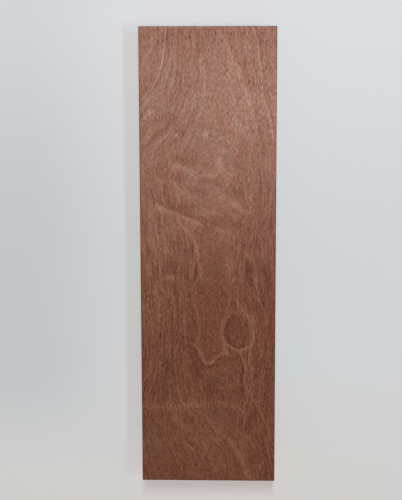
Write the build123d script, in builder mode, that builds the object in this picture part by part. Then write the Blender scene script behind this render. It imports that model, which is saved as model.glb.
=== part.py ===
# A wood turning blank: one straight length of reddish-brown hardwood, planed on its four long
# sides and cross-cut square at both ends. It lies on a broad face.
#
# Lengths are in millimetres. Y runs along the grain, X across the width and Z up through the
# thickness. The origin is the centre of the face that the blank lies on.

import os

from build123d import *

# Driving dimensions
length = 510.0  # along the grain, between the two sawn ends
width = 150.0  # across the broad faces
thickness = 50.0  # between the broad faces
long_arris_radius = 1.0  # the four long corners, rubbed round along the grain
end_arris_chamfer = 0.6  # the rim of each sawn end, with its sharp edge taken off

# The cross-section is drawn at the far end and runs along the grain to the near one.
far_end = Plane.XZ.offset(-length / 2)

with BuildPart() as turning_blank:
    with BuildSketch(far_end) as cross_section:
        Rectangle(width, thickness, align=(Align.CENTER, Align.MIN))
        fillet(cross_section.vertices(), radius=long_arris_radius)
    extrude(amount=length)

    sawn_ends = turning_blank.faces().filter_by(Axis.Y)
    chamfer(sawn_ends.edges(), length=end_arris_chamfer)

turning_blank.part.label = "turning_blank"

os.makedirs("parts", exist_ok=True)
export_step(turning_blank.part, "parts/turning_blank.step")
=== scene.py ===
import math

import bpy
import numpy as np
from mathutils import Euler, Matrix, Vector, noise


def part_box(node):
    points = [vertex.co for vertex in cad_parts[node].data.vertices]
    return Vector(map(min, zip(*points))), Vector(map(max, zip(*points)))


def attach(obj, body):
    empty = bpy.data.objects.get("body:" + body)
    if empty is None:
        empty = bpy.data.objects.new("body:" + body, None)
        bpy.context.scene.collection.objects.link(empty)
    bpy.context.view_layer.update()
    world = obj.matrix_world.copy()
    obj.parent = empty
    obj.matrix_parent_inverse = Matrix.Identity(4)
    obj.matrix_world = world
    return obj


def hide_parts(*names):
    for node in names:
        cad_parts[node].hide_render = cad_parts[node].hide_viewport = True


# A wood turning blank: one planed length of reddish-brown hardwood lying on a broad face.
# Metres in the scene, millimetres (mm) where the wood itself is drawn.
# x runs across the blank, y along the grain, z up; the show face is the top.
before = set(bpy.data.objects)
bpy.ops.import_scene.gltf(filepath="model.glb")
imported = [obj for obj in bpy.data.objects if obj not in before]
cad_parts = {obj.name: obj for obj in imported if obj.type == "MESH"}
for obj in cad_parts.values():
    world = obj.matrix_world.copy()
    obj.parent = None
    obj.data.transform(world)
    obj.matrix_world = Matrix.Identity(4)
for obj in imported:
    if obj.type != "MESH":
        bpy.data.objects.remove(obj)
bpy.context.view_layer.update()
mm = 0.001


# Shader maths: a Wire is a node's output, and each operator on it adds one Math node
class Wire:
    def __init__(self, recipe, socket):
        self.recipe = recipe
        self.socket = socket

    def other(self, name):  # another output of the same node
        return Wire(self.recipe, self.socket.node.outputs[name])

    def __add__(self, right):
        return self.recipe.maths("ADD", self, right)

    def __radd__(self, left):
        return self.recipe.maths("ADD", left, self)

    def __sub__(self, right):
        return self.recipe.maths("SUBTRACT", self, right)

    def __rsub__(self, left):
        return self.recipe.maths("SUBTRACT", left, self)

    def __mul__(self, right):
        return self.recipe.maths("MULTIPLY", self, right)

    def __rmul__(self, left):
        return self.recipe.maths("MULTIPLY", left, self)

    def __truediv__(self, right):
        return self.recipe.maths("DIVIDE", self, right)

    def __abs__(self):
        return self.recipe.maths("ABSOLUTE", self)


class Recipe:
    def __init__(self, name):
        self.material = bpy.data.materials.new(name)
        self.material.use_nodes = True
        self.tree = self.material.node_tree
        self.tree.nodes.clear()

    def node(self, kind, settings=None, sockets=None):
        made = self.tree.nodes.new(kind)
        for key, value in (settings or {}).items():
            if key == "stops":
                self.setStops(made.color_ramp, value)
            else:
                setattr(made, key, value)
        for key, value in (sockets or {}).items():
            self.plug(self.inlet(made, key), value)
        shown = [outlet for outlet in made.outputs if outlet.enabled]
        return Wire(self, shown[0]) if shown else made

    def inlet(self, made, key):  # by its place or its identifier, since Mix has several sockets called A
        if isinstance(key, int):
            return made.inputs[key]
        found = [socket for socket in made.inputs if key in (socket.identifier, socket.name)]
        return found[0]

    def plug(self, socket, value):
        if isinstance(value, Wire):
            self.tree.links.new(value.socket, socket)
        elif hasattr(value, "__len__") and socket.type == "RGBA" and len(value) == 3:
            socket.default_value = (*value, 1.0)
        else:
            socket.default_value = value

    def setStops(self, ramp, stops):
        while len(ramp.elements) < len(stops):
            ramp.elements.new(0.5)
        for element, (place, colour) in zip(ramp.elements, stops):
            element.position = place
            element.color = (*colour, 1.0)

    def maths(self, operation, first, second=None):
        sockets = {0: first}
        if second is not None:
            sockets[1] = second
        return self.node("ShaderNodeMath", {"operation": operation}, sockets)

    def fraction(self, value):
        return self.maths("FRACT", value)

    def larger(self, first, second):
        return self.maths("MAXIMUM", first, second)

    def ease(self, value, low, high):  # 0 below low, 1 above high, smooth between
        sockets = {"Value": value, "From Min": low, "From Max": high}
        return self.node("ShaderNodeMapRange", {"interpolation_type": "SMOOTHSTEP"}, sockets)

    def scaled(self, vector, factors):
        return self.node("ShaderNodeVectorMath", {"operation": "MULTIPLY"}, {0: vector, 1: factors})

    def moved(self, vector, offset):
        return self.node("ShaderNodeVectorMath", {"operation": "ADD"}, {0: vector, 1: offset})

    def bundle(self, x, y, z):
        return self.node("ShaderNodeCombineXYZ", None, {0: x, 1: y, 2: z})

    def mixColour(self, share, first, second, blend="MIX"):
        settings = {"data_type": "RGBA", "blend_type": blend}
        sockets = {"Factor_Float": share, "A_Color": first, "B_Color": second}
        return self.node("ShaderNodeMix", settings, sockets)

    def tinted(self, share, colour, tint):
        return self.mixColour(share, colour, tint, "MULTIPLY")

    def cloud(self, vector, detail=2.0, roughness=0.5):  # noise about zero, mostly within 0.5
        sockets = {"Vector": vector, "Scale": 1.0, "Detail": detail, "Roughness": roughness}
        return self.node("ShaderNodeTexNoise", {"noise_dimensions": "3D"}, sockets) - 0.5

    def attribute(self, name):
        return self.node("ShaderNodeAttribute", {"attribute_type": "GEOMETRY", "attribute_name": name})

    def finish(self, surface):
        self.node("ShaderNodeOutputMaterial", None, {"Surface": surface})
        return self.material


def linear(red, green, blue):  # a colour read off a paint chip, 0 to 255, as the shader wants it
    def one(value):
        share = value / 255
        return share / 12.92 if share <= 0.04045 else ((share + 0.055) / 1.055) ** 2.4
    return tuple(one(value) for value in (red, green, blue))


# Camera: straight down over the blank, a little towards its far end, as a long lens would
camera = {
    "lens": 90.0,  # mm on a 36 mm sensor
    "place": (0.0366, 0.2240, 1.4160),
    "turn": (-8.868, 1.836, -0.145),  # degrees
}


def setCamera():
    data = bpy.data.cameras.new("camera")
    data.lens = camera["lens"]
    data.sensor_width = 36.0
    data.clip_start = 0.01
    data.clip_end = 60.0
    eye = bpy.data.objects.new("camera", data)
    eye.location = camera["place"]
    eye.rotation_euler = Euler([math.radians(angle) for angle in camera["turn"]])
    bpy.context.collection.objects.link(eye)
    bpy.context.scene.camera = eye
    print("camera set")


# Lamps: a long strip beyond the far end lights the blank, an overhead panel gives the pale sheen on
# its far half, and a small lamp on the right throws the thin shadow on its left
lamps = {
    "strip": {"place": (0.08, 1.45, 2.80), "size": (0.36, 0.80), "power": 62.0},
    "overhead": {"place": (0.10, 0.12, 1.80), "size": (0.80, 0.55), "power": 3.0},
    "small": {"place": (0.70, 0.10, 1.80), "size": (0.13, 0.13), "power": 5.6},
}
sky = {"fill": 0.25, "seen": (204, 207, 211)}


def setLamps():
    for name, lamp in lamps.items():
        data = bpy.data.lights.new(name, "AREA")
        data.shape = "RECTANGLE"
        data.size, data.size_y = lamp["size"]
        data.energy = lamp["power"]
        light = bpy.data.objects.new(name, data)
        light.location = lamp["place"]
        aim = Vector((0.0, 0.0, 0.0)) - light.location
        light.rotation_euler = aim.to_track_quat("-Z", "Y").to_euler()
        bpy.context.collection.objects.link(light)
    print("lamps set:", len(lamps))


def setSky():
    world = bpy.data.worlds.new("studio")
    bpy.context.scene.world = world
    world.use_nodes = True
    tree = world.node_tree
    tree.nodes.clear()
    fill = tree.nodes.new("ShaderNodeBackground")
    fill.inputs["Color"].default_value = (1.0, 1.0, 1.0, 1.0)
    fill.inputs["Strength"].default_value = sky["fill"]
    seen = tree.nodes.new("ShaderNodeBackground")
    seen.inputs["Color"].default_value = (*linear(*sky["seen"]), 1.0)
    path = tree.nodes.new("ShaderNodeLightPath")
    choice = tree.nodes.new("ShaderNodeMixShader")
    out = tree.nodes.new("ShaderNodeOutputWorld")
    tree.links.new(path.outputs["Is Camera Ray"], choice.inputs[0])
    tree.links.new(fill.outputs[0], choice.inputs[1])
    tree.links.new(seen.outputs[0], choice.inputs[2])
    tree.links.new(choice.outputs[0], out.inputs["Surface"])
    print("sky set")


# Floor: a wide sheet of pale backdrop paper. Its tone carries painted light: paler and cooler away from
# the camera, warmer near the foot
floor = {
    "reach": 7.0,
    "near": (210, 209, 208),  # the paper's tone in each part, sRGB; the change from part to part is painted light falloff
    "middle": (208, 211, 214),
    "far": (216, 218, 221),
    # painted shade: the paper darker on the left
    "left": (187, 191, 194),
    "foot": (1.10, 0.99, 0.97),  # painted reflection: the wood's reddish light on the paper at its foot
    "strip": (0.98, 0.945, 0.91),  # and painted shade, warmed by the wood's reflected light, along its left side
    "paleShare": 0.55,  # how much of the paper's tone is its own, so that shadows stay light
    "leftShadeShare": 0.6,
    "leftShadeThinning": 0.34,  # how much of that share is lost towards the far end
}
# Where each tone comes in: none at the first figure, all at the second, metres from the blank's centre
floorEdges = {
    "middle": (-0.27, -0.05),
    "far": (-0.02, 0.30),
    "distance": (0.6, 2.2),
    "leftShadeAcross": (-0.07, -0.21),
    "leftShadeAlong": (-0.27, -0.13),
    "leftShadeThins": (0.02, 0.30),
    "leftShadeReach": (0.75, 0.33),
    "footFront": (-0.32, -0.262),
    "footBack": (-0.2, -0.25),
    "footSides": (0.1, 0.06),
    "stripOuter": (-0.099, -0.093),
    "stripInner": (0.0, -0.05),
    "stripNear": (-0.26, -0.12),
    "stripFar": (0.256, 0.244),
}


def paperFinish():
    recipe = Recipe("backdrop_paper")
    place = recipe.node("ShaderNodeTexCoord").other("Object")
    parts = recipe.node("ShaderNodeSeparateXYZ", None, {0: place})
    across = parts.other("X")
    along = parts.other("Y")
    distance = recipe.node("ShaderNodeVectorMath", {"operation": "LENGTH"}, {0: place})

    def within(value, edge):
        return recipe.ease(value, *floorEdges[edge])

    away = within(distance, "distance")
    # painted light: the paper paler and cooler towards the far end, warmer near the foot
    colour = recipe.mixColour(within(along, "middle"), linear(*floor["near"]), linear(*floor["middle"]))
    colour = recipe.mixColour(within(along, "far"), colour, linear(*floor["far"]))
    # painted shade on the paper's left side, thinner towards the far end
    leftShadeAmount = floor["leftShadeShare"] - within(along, "leftShadeThins") * floor["leftShadeThinning"]
    leftShadeShare = within(across, "leftShadeAcross") * within(along, "leftShadeAlong") * leftShadeAmount
    leftShadeShare = leftShadeShare * within(distance, "leftShadeReach")
    colour = recipe.mixColour(leftShadeShare, colour, linear(*floor["left"]))
    # painted reflection: reddish light from the wood on the paper at the blank's foot
    footReflectionShare = within(along, "footFront") * within(along, "footBack") * within(abs(across), "footSides")
    colour = recipe.tinted(footReflectionShare, colour, floor["foot"])
    # painted shade, warmed by reflected light from the wood, on the shadow strip left of the blank
    stripShadeShare = within(across, "stripOuter") * within(across, "stripInner")
    stripShadeShare = stripShadeShare * within(along, "stripNear") * within(along, "stripFar")
    colour = recipe.tinted(stripShadeShare, colour, floor["strip"])
    colour = recipe.mixColour(away, colour, linear(*sky["seen"]))
    paper = recipe.node("ShaderNodeBsdfPrincipled", None, {
        "Base Color": colour,
        "Roughness": 0.9,
        "Specular IOR Level": 0.0,
    })
    glow = recipe.node("ShaderNodeEmission", None, {"Color": colour, "Strength": 1.0})
    ray = recipe.node("ShaderNodeLightPath")
    seen = recipe.larger(ray.other("Is Camera Ray"), ray.other("Is Glossy Ray"))
    ownShare = away * (1.0 - floor["paleShare"]) + floor["paleShare"]
    sheet = recipe.node("ShaderNodeMixShader", None, {0: seen * ownShare, 1: paper, 2: glow})
    return recipe.finish(sheet)


def layFloor():
    reach = floor["reach"]
    corners = [(-reach, -reach, 0.0), (reach, -reach, 0.0), (reach, reach, 0.0), (-reach, reach, 0.0)]
    mesh = bpy.data.meshes.new("floor")
    mesh.from_pydata(corners, [], [(0, 1, 2, 3)])
    sheet = bpy.data.objects.new("floor", mesh)
    sheet.data.materials.append(paperFinish())
    bpy.context.collection.objects.link(sheet)
    print("floor laid")


# The blank's shape. Its six faces are cut into cells small enough to carry the drawn figure.
blank = {
    "arris": 1.0,  # radius of the four long corners, mm
    "endArris": 0.6,  # the rim of each sawn end
    "cellAcross": 1.25,
    "cellAlong": 2.0,
    "cellUp": 1.9,
    "planing": 0.035,  # how far the planed faces dip, mm
    "hollowAcross": 23.0,  # size of those dips
    "hollowAlong": 60.0,
    "sawMark": 0.2,  # depth of the saw marks on the ends
    "sawPitch": 7.5,  # spacing of the deeper ones
    "sawRadius": 155.0,
    "sawLeft": 40.0,  # how far left of the middle the saw's axle passed
    "sawJump": 0.35,  # how unevenly the marks are spaced, as a share of the pitch
    "arrisShadeReach": 1.3,  # how far in from the arrises the painted shade reaches
    "figureDepth": 4.0,  # how deep the drawn figure lasts below the show face
}
low, high = (np.array(corner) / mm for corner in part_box("turning_blank"))
width, length, thickness = high - low

# Growth on the show face: where the growth rings come to the surface. A ring's number, then points on
# it in mm: from the left arris, and up from the near end.
growthLines = [
    (1.0, [(17, 512), (14, 488), (7, 472), (0, 462)]),
    (2.0, [(29.5, 512), (27.5, 482), (22, 460), (12, 445), (0, 429)]),
    (3.0, [(37, 512), (36, 475), (29, 448), (15, 425), (0, 405)]),
    (4.0, [(45, 512), (45, 470), (41, 438), (27, 405), (2, 374)]),
    (5.0, [(53, 512), (54, 455), (47, 420), (30, 394), (8, 358)]),
    (6.0, [(62, 512), (61, 455), (57, 420), (40, 390), (20, 352)]),
    (7.0, [(71, 512), (72, 440), (61, 408), (48, 372), (36, 345)]),
    (7.0, [(93, 512), (99, 450), (108, 408), (120, 365)]),
    (6.0, [(103, 512), (109, 455), (120, 422), (133, 385)]),
    (5.0, [(114, 512), (119, 460), (128, 425), (142, 385)]),
    (4.0, [(131, 512), (132, 452), (141, 415), (149, 385)]),
    (3.0, [(143, 512), (145, 460), (150, 432)]),
    (8.0, [(58, 350), (78, 372), (100, 350), (112, 322), (90, 335), (66, 338)]),
    (7.6, [(82, 420), (84, 470)]),
    (3.0, [(5, 320), (8, 250), (10, 180), (8, 120)]),
    (4.0, [(14, 300), (16, 225), (20, 180), (18, 120), (10, 95)]),
    (5.0, [(24, 295), (29, 240), (34, 190), (31, 130), (27, 98)]),
    (6.0, [(33, 300), (42, 240), (41, 180), (37, 140), (42, 100)]),
    (7.0, [(47, 280), (51, 220), (49, 170), (56, 135), (66, 98)]),
    (8.0, [(60, 272), (59, 215), (63, 175)]),
    (8.0, [(112, 262), (108, 240)]),
    (7.0, [(122, 285), (120, 235), (125, 175), (122, 150), (117, 105)]),
    (6.0, [(133, 300), (127, 230), (138, 185), (130, 130), (124, 102)]),
    (5.0, [(143, 300), (140, 240), (147, 185), (140, 130), (134, 82)]),
    (4.0, [(150, 260), (150, 140), (146, 80)]),
    (7.0, [(76, 70), (90, 53), (104, 40), (115, 18), (120, 0)]),
    (6.0, [(60, 62), (78, 44), (92, 22), (98, 0)]),
    (5.0, [(45, 60), (62, 32), (72, 0)]),
    (4.0, [(24, 62), (38, 32), (45, 0)]),
    (3.0, [(4, 50), (16, 0)]),
    (6.0, [(118, 66), (127, 40), (136, 0)]),
]
growth = {
    "spacing": 6.5,  # ring width through the thickness, mm
    "pithBelow": 120.0,  # how far under the underside the heart of the trunk lies
    "alongShare": 0.42,  # rings bend less quickly along the grain than across it
    "slack": 60.0,  # how loosely the surface follows its points
    "slant": 1.3,  # mm that the figure travels along the grain for each mm of depth
    "lineThickness": 1.1,  # a pale growth line, through the thickness
    "widestLine": 1.5,  # and the most it may spread where the surface only grazes it
}

# Pale threads on the show face, each with a darker line close on its right as it is followed:
# half width in mm, strength, points as above
threads = [
    (0.9, 0.50, [(1, 427), (9, 438), (15, 444), (21, 457), (26, 474), (29, 495), (30, 512)]),
    (0.9, 0.15, [(-2, 452), (5, 466), (12, 480), (14, 492), (14, 512)]),
    (0.9, 0.38, [(150, 384), (146, 392), (143, 410), (139, 423), (134, 437), (134, 450), (131, 472),
                 (129, 490), (124, 508)]),
    (1.5, 0.28, [(125, 384), (127, 401), (124, 415), (119, 434), (114, 448), (107, 466), (101, 479),
                 (94, 495), (86, 502)]),
    (1.0, 0.25, [(107, 421), (101, 439), (94, 455)]),
    (0.9, 0.24, [(80, 380), (85, 387), (94, 388), (103, 381), (110, 372)]),
    (2.0, 0.42, [(67, 294), (58, 298), (46, 303), (31, 309), (18, 315)]),
    (2.2, 0.26, [(96, 286), (84, 289), (76, 294)]),
    (2.0, 0.24, [(124, 255), (115, 263), (106, 270), (98, 275), (91, 279)]),
    (1.6, 0.32, [(40, 302), (48, 291), (56, 282), (61, 273), (64, 258), (66, 245), (66, 235), (60, 229),
                 (57, 220), (59, 208), (62, 196), (65, 183), (65, 170), (60, 160)]),
    (1.5, 0.62, [(60, 158), (64, 154), (67, 149), (69, 142), (72, 138), (76, 137), (80, 139), (84, 144),
                 (88, 146), (93, 149), (98, 147)]),
    (1.1, 0.40, [(92, 225), (96, 219), (99, 212), (98, 205), (96, 199)]),
    (2.2, 0.45, [(94, 149), (93, 156), (92, 163), (90, 170), (91, 178), (93, 186), (97, 191)]),
    (1.2, 0.64, [(121, 157), (115, 154), (109, 152), (103, 154), (98, 158), (94, 162)]),
    (1.8, 0.18, [(97, 192), (103, 196), (109, 196), (114, 192), (119, 187), (121, 178), (122, 168),
                 (120, 160)]),
    (1.1, 0.60, [(106, 211), (109, 203), (114, 198), (119, 192), (123, 185), (123, 177), (126, 169),
                 (126, 162), (123, 156)]),
    (1.0, 0.50, [(109, 152), (113, 145), (115, 138), (117, 130), (115, 121), (117, 112), (118, 103)]),
    (1.0, 0.30, [(123, 156), (121, 149), (121, 140), (124, 128), (124, 116), (122, 104), (126, 95),
                 (131, 86), (135, 79), (140, 67), (145, 48)]),
    (0.9, 0.50, [(124, 238), (127, 229), (130, 222), (131, 213), (134, 205), (138, 195), (139, 182)]),
    (1.2, 0.14, [(37, 151), (38, 138), (39, 124), (41, 103), (47, 92), (59, 84), (70, 78)]),
    (1.4, 0.24, [(70, 78), (74, 72), (80, 65), (86, 57), (92, 52), (99, 48)]),
    (2.6, 0.34, [(102, 44), (105, 39), (108, 34), (112, 28), (116, 19), (119, 8), (120, -3)]),
    (0.9, 0.35, [(101, 46), (104, 40), (107, 34), (111, 27), (114, 19), (117, 9), (118, -3)]),
    (1.0, 0.35, [(118, 54), (123, 45), (127, 38)]),
    (1.0, 0.22, [(125, 69), (131, 58), (135, 46)]),
    (1.6, 0.25, [(70, 45), (76, 28), (85, 9)]),
    (0.9, 0.28, [(29, 240), (29, 228), (31, 218), (36, 213), (38, 203), (37, 190)]),
    (1.0, 0.10, [(16, 226), (18, 214), (20, 203), (20, 190)]),
]

# Flecks, bands and patches on the show face: reach in mm, paler (+) or darker (-), more orange (+) or
# greyer (-), points
patches = [
    (24.0, 0.30, 0.0, [(96, 455), (98, 410)]),
    (30.0, -0.20, -0.9, [(12, 465), (10, 380)]),
    (20.0, -0.4, 0.0, [(56, 500), (56, 470)]),
    (22.0, -0.35, 0.1, [(130, 505), (134, 465)]),
    (24.0, -0.45, 0.2, [(140, 380), (136, 300)]),
    (22.0, 0.40, 0.0, [(14, 285), (14, 190)]),
    (42.0, -0.24, 3.2, [(122, 280), (116, 195)]),
    (26.0, -0.35, 0.0, [(66, 190), (66, 130)]),
    (16.0, -0.30, 0.2, [(142, 150), (142, 15)]),
    (60.0, 0.0, -0.5, [(0, 20), (150, 20)]),
    (28.0, 0.0, -0.6, [(4, 110), (4, 10)]),
    (20.0, -0.40, 0.0, [(22, 356), (56, 340)]),
    (30.0, 0.0, -0.8, [(48, 440), (68, 400)]),
    (14.0, 0.0, 0.8, [(96, 500), (98, 470)]),
    (26.0, 0.0, 0.9, [(56, 290), (56, 215)]),
    (10.0, -0.35, 0.2, [(141, 240), (136, 200)]),
    (14.0, -0.30, 0.0, [(38, 14)]),
    (15.0, -0.40, 0.0, [(38, 404), (56, 404)]),
    (28.0, 0.35, 0.0, [(50, 66), (80, 56)]),
    (26.0, -0.85, -0.2, [(-5, 515), (155, 515)]),
    (9.0, -0.15, 0.0, [(2, 345), (4, 200), (3, 60)]),
    (9.0, -0.25, 0.3, [(149, 330), (148, 150)]),
    # far third
    (3.0, 0.4, -0.5, [(71, 464), (72, 435), (73, 423), (70, 412), (61, 401), (55, 392), (53, 383)]),
    (2.4, -0.5, 0.2, [(46, 462), (45, 441), (42, 424), (34, 410), (25, 399), (14, 388), (5, 375)]),
    (2.2, -0.05, 0.3, [(61, 445), (61, 430), (59, 412), (54, 397)]),
    (3.5, -0.6, 0.5, [(48, 508), (48, 470)]),
    (4.0, 0.6, 0.2, [(37, 486), (34, 468), (31, 455)]),
    (4.0, -0.9, 0.6, [(112, 472), (117, 461), (122, 449)]),
    (6.0, -0.3, 1.2, [(88, 410), (97, 396)]),
    (3.0, -0.3, 0.8, [(76, 446), (77, 424)]),
    (4.5, 0.4, 0.5, [(115, 441), (118, 428)]),
    (5.0, 0.4, -0.3, [(104, 411), (108, 402)]),
    (3.0, 1.25, 0.4, [(12, 417)]),
    (2.6, 1.9, -0.1, [(40, 393)]),
    # middle, where the grain curls
    (4.0, 2.15, -0.5, [(73, 393)]),
    (5.0, 0.3, 0.0, [(84, 389), (106, 385)]),
    (3.0, 1.2, -0.5, [(92, 374)]),
    (3.0, 0.2, -0.8, [(96, 366)]),
    (4.0, 1.5, 0.4, [(87, 364), (89, 356)]),
    (3.5, 1.05, 0.2, [(74, 350), (78, 349)]),
    (4.5, 0.35, 0.8, [(94, 347), (96, 343)]),
    (3.0, -0.9, 0.8, [(107, 362)]),
    (5.0, -0.7, 0.2, [(38, 367), (58, 363)]),
    (4.5, 1.1, -0.3, [(38, 361), (50, 355), (60, 348)]),
    (6.0, -0.2, 0.3, [(18, 353), (44, 346)]),
    (3.5, 0.6, 0.2, [(20, 346), (30, 342), (38, 340)]),
    (4.5, 0.75, -0.2, [(52, 341), (64, 337), (78, 334), (92, 330)]),
    (4.0, 0.95, 0.0, [(42, 334), (51, 327), (62, 323)]),
    (3.5, -0.35, 0.0, [(83, 339), (99, 331), (112, 328)]),
    (4.0, 0.8, -0.2, [(76, 328), (90, 323), (101, 317), (112, 311), (122, 307)]),
    (6.0, -0.7, 0.0, [(26, 323), (40, 315), (54, 308)]),
    (5.0, 0.35, 1.6, [(77, 311)]),
    (4.0, -0.05, 0.0, [(62, 304), (76, 298), (90, 297)]),
    (12.0, -0.2, -0.3, [(108, 302), (120, 290)]),
    (4.0, -1.4, 1.0, [(23, 301)]),
    (6.0, 0.25, 1.0, [(52, 290), (61, 275), (65, 259)]),
    (5.0, 0.6, 0.4, [(99, 286), (110, 281)]),
    (5.0, 0.25, -0.4, [(84, 289), (92, 283)]),
    (9.0, 0.6, 0.9, [(98, 252), (103, 234)]),
    (2.2, -1.45, -0.8, [(119, 250), (121, 238), (122, 228)]),
    (5.0, -1.1, -0.3, [(52, 263)]),
    (5.0, -0.75, 0.0, [(35, 250), (37, 243)]),
    (3.5, 1.9, 0.3, [(32, 235)]),
    (5.0, -0.45, 0.0, [(37, 226)]),
    # the eye
    (10.0, -0.35, -1.7, [(107, 182), (107, 165)]),
    (1.8, -0.9, 0.0, [(98, 187), (95, 178), (95, 168), (98, 162)]),
    (2.0, -0.8, -0.3, [(117, 186), (119, 177), (118, 166)]),
    (2.2, -0.35, -0.3, [(100, 161), (108, 157), (116, 160)]),
    (6.0, 0.0, 0.9, [(88, 186), (86, 172), (90, 160)]),
    # near third
    (4.5, 0.5, 0.0, [(72, 128), (85, 127), (97, 131)]),
    (4.0, -0.4, -0.9, [(30, 150), (31, 125), (32, 103)]),
    (3.0, -1.2, -0.3, [(15, 103)]),
    (3.5, -0.5, -0.9, [(57, 147), (62, 133), (66, 122)]),
    (4.0, 0.5, 0.6, [(66, 112)]),
    (6.0, -0.4, -0.9, [(77, 107)]),
    (3.5, -0.25, -0.9, [(112, 133), (112, 98)]),
    (3.5, 0.7, -0.2, [(0, 87), (23, 86), (38, 87), (57, 89), (90, 92), (101, 89), (112, 83)]),
    (4.0, -0.85, -0.6, [(128, 80)]),
    (4.0, -0.35, -0.8, [(137, 31)]),
    (4.0, -0.75, -0.2, [(124, 25)]),
]


def fitted(lines):  # the smooth surface through a value at each point, as a function of u and v in mm
    points = np.array([point for value, line in lines for point in line], float)
    values = np.array([value for value, line in lines for point in line], float)
    share = growth["alongShare"]
    points = points * (1.0, share)
    count = len(points)

    def pull(gap):
        return gap * gap * np.log(np.maximum(gap, 1e-6))

    gaps = np.linalg.norm(points[:, None] - points[None], axis=2)
    table = np.zeros((count + 3, count + 3))
    table[:count, :count] = pull(gaps) + growth["slack"] * np.eye(count)
    table[:count, count] = 1.0
    table[:count, count + 1:] = points
    table[count, :count] = 1.0
    table[count + 1:, :count] = points.T
    weights = np.linalg.solve(table, np.append(values, (0.0, 0.0, 0.0)))

    def surface(u, v):
        where = np.stack([u, v * share], axis=-1)
        total = weights[count] + where @ weights[count + 1:]
        for point, weight in zip(points, weights):
            total = total + weight * pull(np.hypot(where[:, 0] - point[0], where[:, 1] - point[1]))
        return total

    return surface


ringsOnFace = fitted(growthLines)


def ringNumber(places):  # growth ring at any place in the wood, places in mm
    x, y, z = places.T
    heart = -growth["pithBelow"]
    faceReach = np.hypot(x, high[2] - heart)
    reach = np.hypot(x, z - heart)
    along = y - low[1] + (high[2] - z) * growth["slant"]
    return ringsOnFace(x - low[0], along) + (faceReach - reach) / growth["spacing"]


def smoothed(points, step=1.5):  # a flowing line through given points
    points = np.array(points, float)
    if len(points) < 3:
        return points
    ends = [2 * points[0] - points[1], *points, 2 * points[-1] - points[-2]]
    flow = []
    for before, start, end, after in zip(ends, ends[1:], ends[2:], ends[3:]):
        parts = max(1, int(np.linalg.norm(end - start) / step))
        for part in range(parts):
            t = part / parts
            flow.append(0.5 * (2 * start + (end - before) * t
                               + (2 * before - 5 * start + 4 * end - after) * t ** 2
                               + (3 * start - before - 3 * end + after) * t ** 3))
    return np.array([*flow, ends[-2]])


def lineGaps(u, v, line):  # signed distance to a line, + on its left
    best = np.full(len(u), 1e9)
    side = np.ones(len(u))
    if len(line) == 1:
        return np.hypot(u - line[0][0], v - line[0][1]), side
    for start, end in zip(line, line[1:]):
        du, dv = end - start
        share = np.clip(((u - start[0]) * du + (v - start[1]) * dv) / (du * du + dv * dv), 0.0, 1.0)
        gapU = u - start[0] - share * du
        gapV = v - start[1] - share * dv
        gap = np.hypot(gapU, gapV)
        nearer = gap < best
        best = np.where(nearer, gap, best)
        side = np.where(nearer, np.sign(du * gapV - dv * gapU), side)
    return best, side


def drawFigure(places):  # what the show face carries besides its rings
    u = places[:, 0] - low[0]
    v = places[:, 1] - low[1]
    fade = np.exp(-np.clip(high[2] - places[:, 2], 0.0, None) / blank["figureDepth"])
    margin = 9.0  # a thread is out of reach past this, in mm and in half widths
    offset = np.full(len(u), margin)
    gap = np.full(len(u), margin)
    strength = np.zeros(len(u))
    for halfWidth, amount, points in threads:
        line = smoothed(points)
        leastU, leastV = line.min(axis=0) - margin
        mostU, mostV = line.max(axis=0) + margin
        inside = (u > leastU) & (u < mostU) & (v > leastV) & (v < mostV)
        near = np.flatnonzero(inside & (fade > 0.05))
        distance, side = lineGaps(u[near], v[near], line)
        distance = distance / halfWidth
        closer = distance < gap[near]
        chosen = near[closer]
        gap[chosen] = distance[closer]
        offset[chosen] = (distance * side)[closer]
        strength[chosen] = amount

    tone = np.zeros(len(u))
    warmth = np.zeros(len(u))
    for reach, paler, warmer, points in patches:
        distance, side = lineGaps(u, v, smoothed(points, step=4.0))
        share = np.exp(-(distance / reach) ** 2)
        tone += paler * share
        warmth += warmer * share
    return offset, gap, strength * fade, tone * fade, warmth * fade


def latticeAxis(half, corner, cell):  # cell borders along one axis, closer together round the arrises
    tight = corner * math.tan(math.radians(22.5))
    flat = half - corner
    inner = np.linspace(-flat, flat, max(2, int(round(2 * flat / cell))) + 1)
    return np.concatenate([[-half, -flat - tight], inner, [flat + tight, half]])


def blankLattice():  # the points and faces of a block whose surface is cut into cells
    axes = [
        latticeAxis(width / 2, blank["arris"], blank["cellAcross"]),
        latticeAxis(length / 2, blank["endArris"], blank["cellAlong"]),
        latticeAxis(thickness / 2, blank["arris"], blank["cellUp"]),
    ]
    counts = [len(axis) for axis in axes]
    index = np.full(counts, -1)
    shell = np.zeros(counts, bool)
    shell[[0, -1]] = True
    shell[:, [0, -1]] = True
    shell[:, :, [0, -1]] = True
    index[shell] = np.arange(shell.sum())
    where = np.argwhere(shell)
    points = np.stack([axes[axis][where[:, axis]] for axis in range(3)], axis=1)
    faces = []
    sides = []
    for axis in range(3):
        for end in (0, -1):
            sheet = np.take(index, end, axis=axis)
            quads = np.stack([sheet[:-1, :-1], sheet[1:, :-1], sheet[1:, 1:], sheet[:-1, 1:]], axis=-1)
            outward = (end == -1) == (axis != 1)
            quads = quads.reshape(-1, 4)
            faces.append(quads if outward else quads[:, ::-1])
            sides += [2 * axis + (end == -1)] * len(quads)
    return points, np.concatenate(faces), np.array(sides)


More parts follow.
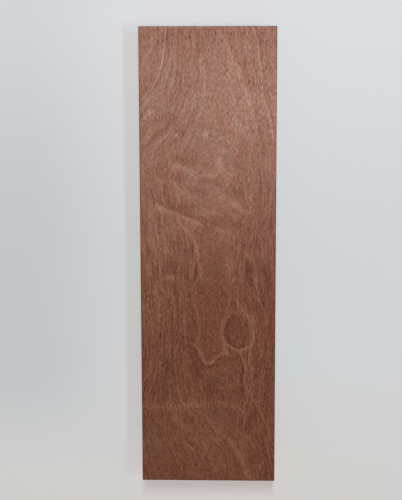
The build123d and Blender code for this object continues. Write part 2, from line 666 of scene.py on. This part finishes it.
def roundArrises(points):  # pulls the lattice's sharp corners in to the arris radius
    half = np.array([width, length, thickness]) / 2
    corner = np.array([blank["arris"], blank["endArris"], blank["arris"]])
    core = np.clip(points, corner - half, half - corner)
    out = (points - core) / corner
    reach = np.linalg.norm(out, axis=1, keepdims=True)
    normal = out / np.maximum(reach, 1e-9)
    normal /= corner
    normal /= np.linalg.norm(normal, axis=1, keepdims=True)
    return core + out / np.maximum(reach, 1e-9) * corner, normal


def arrisShading(points):  # 1 on the arrises, 0 a little way in from them: where the arrises get painted shade
    half = np.array([width, length, thickness]) / 2
    inset = np.sort(half - np.abs(points), axis=1)[:, 1]  # second smallest: the way to the nearest arris
    return np.clip(1.0 - inset / blank["arrisShadeReach"], 0.0, 1.0)


def workFaces(points, normal):  # the faint hollows that planing and the crosscut saw leave
    hollow = (blank["hollowAcross"], blank["hollowAlong"], blank["hollowAcross"])
    depth = np.array([0.5 + 0.5 * noise.noise(spot) for spot in (points / hollow).tolist()])
    planed = blank["planing"] * depth
    x = points[:, 0]
    z = points[:, 2]
    arc = np.hypot(x + blank["sawLeft"], z + blank["sawRadius"])
    beat = arc / blank["sawPitch"] + blank["sawJump"] * np.sin(arc / 3.1) + 0.02 * x
    scar = np.clip(1.0 - np.abs(beat % 1.0 - 0.5) * 5.0, 0.0, 1.0)  # 1 in the middle of each mark
    sawn = blank["sawMark"] * (0.25 * depth + 0.75 * scar * (0.4 + 0.6 * depth))
    onEnd = np.clip(np.abs(normal[:, 1]) * 1.4 - 0.4, 0.0, 1.0)
    sink = planed * (1.0 - onEnd) + sawn * onEnd
    return points - normal * sink[:, None], scar * depth * onEnd


def unwrapFaces(mesh, points, sides):  # each face flat in its own rectangle, along the grain
    gapMm = 4.0
    reach = length + 2 * gapMm
    column = gapMm
    corner = {}
    for side, across in ((5, width), (4, width), (0, thickness), (1, thickness)):
        corner[side] = (column, gapMm)
        column += across + gapMm
    corner[2] = (column, gapMm)
    corner[3] = (column, 2 * gapMm + width)
    half = np.array([width, length, thickness]) / 2
    axesOf = {5: (0, 1), 4: (0, 1), 0: (2, 1), 1: (2, 1), 2: (2, 0), 3: (2, 0)}
    layer = mesh.uv_layers.new(name="OFBake")
    loops = np.array([loop.vertex_index for loop in mesh.loops])
    loopSides = np.repeat(sides, 4)
    uv = np.zeros((len(loops), 2))
    for side, (first, second) in axesOf.items():
        mine = loopSides == side
        where = points[loops[mine]]
        uv[mine, 0] = corner[side][0] + where[:, first] + half[first]
        uv[mine, 1] = corner[side][1] + where[:, second] + half[second]
    layer.data.foreach_set("uv", (uv / reach).astype(np.float32).ravel())


def addAttribute(mesh, name, values):
    layer = mesh.attributes.new(name, "FLOAT", "POINT")
    layer.data.foreach_set("value", np.asarray(values, np.float32))


def makeBlank():
    lattice, faces, sides = blankLattice()
    rounded, normal = roundArrises(lattice)
    shaped, scars = workFaces(rounded, normal)
    centre = (low + high) / 2
    places = rounded + centre
    ring = ringNumber(places)
    print("rings drawn:", round(float(ring.min()), 1), "to", round(float(ring.max()), 1))
    step = 0.5
    slope = np.stack([(ringNumber(places + step * axis) - ring) / step for axis in np.eye(3)], axis=1)
    slope -= (slope * normal).sum(axis=1, keepdims=True) * normal
    steepness = np.linalg.norm(slope, axis=1)
    thinLine = growth["lineThickness"] / growth["spacing"]
    lineShare = np.minimum(thinLine, growth["widestLine"] * steepness + 0.01)
    offset, gap, strength, tone, warmth = drawFigure(places)
    print("figure drawn:", len(threads), "threads and", len(patches), "patches")

    mesh = bpy.data.meshes.new("planed_blank")
    mesh.from_pydata(((shaped + centre) * mm).tolist(), [], faces.tolist())
    unwrapFaces(mesh, lattice, sides)
    addAttribute(mesh, "ring", ring)
    addAttribute(mesh, "lineShare", lineShare)
    addAttribute(mesh, "steepness", steepness)
    addAttribute(mesh, "arris", arrisShading(lattice))
    addAttribute(mesh, "sawScar", scars)
    addAttribute(mesh, "threadOffset", offset)
    addAttribute(mesh, "threadGap", gap)
    addAttribute(mesh, "threadStrength", strength)
    addAttribute(mesh, "tone", tone)
    addAttribute(mesh, "warmth", warmth)
    mesh.shade_smooth()
    piece = bpy.data.objects.new("planed_blank", mesh)
    piece.data.materials.append(hardwoodFinish())
    bpy.context.collection.objects.link(piece)
    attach(piece, "root")
    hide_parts("turning_blank")
    print("blank made:", len(faces) * 2, "triangles")


# The wood's colours, with painted light and shade in the far and near tones and on the arrises, and the
# strength of each thing that varies them
wood = {
    # the far end's paler tone is partly painted light and sheen, the near end's darker one partly painted
    # shade
    "farMean": (143, 95, 76),  # sRGB of a plain stretch towards the far end
    "nearMean": (107, 60, 39),  # and of the redder, darker near end
    "farSwing": (54, 64, 70),  # how far the palest and darkest stops lie from it
    "nearSwing": (44, 56, 62),
    "orange": (1.07, 0.96, 0.84),
    "grey": (0.915, 1.01, 1.02),
    "arrisShade": (0.56, 0.52, 0.52),  # painted shade on the rounded arrises
    "sawGrooveTone": (0.62, 0.57, 0.54),  # the deeper saw marks are darker along their middles
    "plain": 0.52,  # where a plain stretch lies between the darkest and the palest stop
    "fibre": 0.26,
    "dashes": 0.74,
    "curl": 0.74,
    "swirl": 0.42,
    "fineLines": 0.42,
    "sweep": 0.48,
    "streak": 0.14,
    "mottle": 0.04,
    "ringTone": 0.10,
    "line": 0.05,
    "thread": 0.34,
    "patch": 0.135,
    "pore": 0.27,
    "sway": 0.5,  # how far the drawn rings stray from the true ones, slowly and then finely, in rings
    "wander": 0.22,
    "swirlStray": 1.3,  # and where the grain curls
    "hueBand": 0.8,
    "warmth": 0.16,
    "roughness": 0.34,
    "specular": 0.42,
}
# Size of each kind of mark in mm: across the grain, along it, and a shift that sets it apart
grain = {
    "fibre": (1.4, 26.0, 0.0),
    "dashes": (0.85, 3.6, 17.0),
    "curl": (0.85, 0.95, 40.0),
    "mottle": (9.0, 14.0, 5.0),
    "sway": (10.0, 30.0, 9.0),
    "wander": (3.0, 7.0, 9.0),
    "swirl": (13.0, 9.0, 63.0),
    "ragged": (1.8, 2.4, 21.0),
    "feather": (2.4, 6.0, 51.0),
    "finePores": (1.2, 5.0, 0.0),
    "widePores": (1.7, 11.0, 31.0),
}
# Marks that follow the growth rings: how many to a ring, to a mm along the grain, and a shift
bands = {
    "fineLines": (7.0, 0.035, 0.0),
    "swirl": (5.0, 0.03, 23.0),
    "streak": (3.4, 0.02, 0.0),
    "ringTone": (1.1, 0.004, 7.0),
    "line": (0.8, 0.01, 3.0),
    "hue": (1.7, 0.008, 13.0),
}
# Where the wood changes: none at the first figure, all at the second, mm from the blank's centre
stretches = {
    "redder": (165.0, -55.0),
    "curlCentre": 60.0,
    "curlLeaves": (55.0, 110.0),
    "footCurlLeaves": (-190.0, -130.0),
    "sweepAlong": (60.0, 130.0),
    "sweepAcross": (15.0, -25.0),
    "raggedBorder": 50.0,  # how far the mottle moves these borders
}


def toneStops(mean, swing):
    stops = []
    for number in range(5):
        place = number / 4
        colour = [max(6, part + (2 * place - 1) * reach) for part, reach in zip(mean, swing)]
        stops.append((place, linear(*colour)))
    return stops


def hardwoodFinish():
    recipe = Recipe("planed_hardwood")
    place = recipe.scaled(recipe.node("ShaderNodeTexCoord").other("Object"), (1 / mm, 1 / mm, 1 / mm))
    parts = recipe.node("ShaderNodeSeparateXYZ", None, {0: place})
    across = parts.other("X")
    along = parts.other("Y")

    def stretched(name):
        acrossMm, alongMm, shift = grain[name]
        sized = recipe.scaled(place, (1 / acrossMm, 1 / alongMm, 1 / acrossMm))
        return recipe.moved(sized, (shift, shift, shift))

    def banded(rings, name):
        toRing, toMm, shift = bands[name]
        return recipe.bundle(rings * toRing, along * toMm, shift)

    def within(value, name):
        return recipe.ease(value, *stretches[name])

    def carried(name):
        return recipe.attribute(name).other("Fac")

    # where the near end is redder and darker, partly the wood's own colour and partly painted shade, where
    # its grain curls and where its rings sweep round
    mottle = recipe.cloud(stretched("mottle"), 3.0, 0.6)
    shifted = along + mottle * stretches["raggedBorder"]
    redder = within(shifted, "redder")
    middleCurl = 1.0 - within(abs(shifted - stretches["curlCentre"]), "curlLeaves")
    footCurl = 0.6 - within(along, "footCurlLeaves")
    curly = recipe.larger(recipe.larger(middleCurl, footCurl), 0.25)
    sweeping = within(along, "sweepAlong") * within(across, "sweepAcross")

    # fine stuff that runs along the grain, rounder where the grain curls
    fibre = recipe.cloud(stretched("fibre"), 1.0)
    dashes = recipe.cloud(stretched("dashes"), 0.0) * (1.0 - curly * 0.75) * wood["dashes"]
    curl = recipe.cloud(stretched("curl"), 0.0) * curly * wood["curl"]
    fleck = (dashes + curl) * (1.1 - redder * 0.22 - sweeping * 0.25)

    # growth rings: long thin lines and broader streaks that follow them, with a slight wander
    ring = carried("ring")
    steep = recipe.ease(carried("steepness"), 0.02, 0.09)
    sway = recipe.cloud(stretched("sway")) * wood["sway"]
    wander = recipe.cloud(stretched("wander"), 3.0, 0.6) * wood["wander"]
    swayed = ring + sway
    wandered = swayed + wander
    toRing, toMm, shift = bands["fineLines"]
    finely = recipe.bundle(swayed * toRing + wander * 2.0, along * toMm, shift)
    fineLine = recipe.cloud(finely, 1.0, 0.6) * steep * (redder * 0.6 + 1.0)
    swirled = wandered + recipe.cloud(stretched("swirl"), 1.0) * wood["swirlStray"]
    swirl = recipe.cloud(banded(swirled, "swirl"), 1.0) * curly
    streak = recipe.cloud(banded(wandered, "streak"), 2.0, 0.6) * steep
    sweep = streak * (sweeping * wood["sweep"] + wood["streak"])
    ringTone = recipe.cloud(banded(wandered, "ringTone"), 1.0)
    toLine = abs(recipe.fraction(wandered + 0.5) - 0.5)
    line = 1.0 - recipe.ease(toLine / carried("lineShare"), 0.1, 1.0)
    lineAmount = recipe.ease(recipe.cloud(banded(ring, "line")), -0.18, 0.22)

    # pale threads with their darker line, and the rough-edged patches, drawn on the show face
    offset = carried("threadOffset")
    strength = carried("threadStrength")
    ragged = recipe.cloud(stretched("ragged")) * 1.3
    core = 1.0 - recipe.ease(abs(offset + ragged), 0.3, 1.4)
    beside = 1.0 - recipe.ease(abs(offset + ragged * 0.5 + 2.6), 0.5, 1.6)
    reach = 1.0 - recipe.ease(carried("threadGap"), 0.9, 2.8)
    thread = (0.25 + 0.75 * core) * reach * strength - beside * strength * 0.4
    feather = recipe.cloud(stretched("feather"), 2.0, 0.6)
    patch = carried("tone") * (1.0 + feather * 3.0)

    # pores: short dark dashes on the faces, dots on the ends, more of them along the dark streaks
    gathered = 1.0 + recipe.ease(streak, 0.02, -0.22) * 0.7

    def pores(name, size):
        sockets = {"Vector": stretched(name), "Scale": 1.0}
        cells = recipe.node("ShaderNodeTexVoronoi", {"voronoi_dimensions": "3D", "feature": "F1"}, sockets)
        chance = recipe.node("ShaderNodeSeparateColor", None, {0: cells.other("Color")})
        radius = chance * size * gathered + 0.04
        return 1.0 - recipe.ease(cells / radius, 0.55, 1.1)

    pore = recipe.larger(pores("finePores", 0.36) * 0.8, pores("widePores", 0.26))

    # all of it together picks a tone between the darkest and the palest
    figure = (
        sweep
        + fineLine * wood["fineLines"]
        + swirl * wood["swirl"]
        + ringTone * wood["ringTone"]
        + line * lineAmount * wood["line"]
        + thread * wood["thread"]
        + patch * wood["patch"]
    )
    value = (
        wood["plain"]
        + figure
        + fibre * wood["fibre"] * (1.0 - curly * 0.5)
        + fleck
        + mottle * wood["mottle"]
        - pore * wood["pore"]
    )
    farStops = toneStops(wood["farMean"], wood["farSwing"])
    nearStops = toneStops(wood["nearMean"], wood["nearSwing"])
    farColour = recipe.node("ShaderNodeValToRGB", {"stops": farStops}, {0: value})
    nearColour = recipe.node("ShaderNodeValToRGB", {"stops": nearStops}, {0: value})
    # partly painted light and shade: paler towards the far end, darker and redder towards the near one
    colour = recipe.mixColour(redder, farColour, nearColour)

    # hue: bands along the rings. What is pale is greyer at the far end, partly painted sheen, and more
    # orange at the near one
    hueBand = recipe.cloud(banded(wandered, "hue"))
    hueDrift = (
        hueBand * wood["hueBand"]
        + mottle * 0.5
        + carried("warmth") * wood["warmth"]
        + figure * (redder * 2.1 - 0.9)
    )
    grey = recipe.tinted(1.0, colour, wood["grey"])
    orange = recipe.tinted(1.0, colour, wood["orange"])
    colour = recipe.mixColour(recipe.ease(hueDrift, -0.35, 0.35), grey, orange)

    # painted shade on the arrises, and darker middles to the deeper saw marks
    arrisShadeShare = carried("arris")
    scar = carried("sawScar")
    # painted shade: the arrises darkened
    colour = recipe.tinted(arrisShadeShare * 0.7, colour, wood["arrisShade"])
    colour = recipe.tinted(scar * 0.6, colour, wood["sawGrooveTone"])
    roughness = wood["roughness"] + pore * 0.25 + fleck * 0.15 + arrisShadeShare * 0.2 + scar * 0.15
    height = fibre * 0.03 + fleck * 0.03 - pore * 0.08 + line * 0.02
    bump = recipe.node("ShaderNodeBump", None, {"Height": height, "Strength": 0.6, "Distance": mm})
    surface = recipe.node("ShaderNodeBsdfPrincipled", None, {
        "Base Color": colour,
        "Roughness": roughness,
        "Normal": bump,
        "IOR": 1.45,
        "Specular IOR Level": wood["specular"],
    })
    return recipe.finish(surface)


bpy.context.scene.view_settings.view_transform = "Standard"
setCamera()
setLamps()
setSky()
layFloor()
makeBlank()
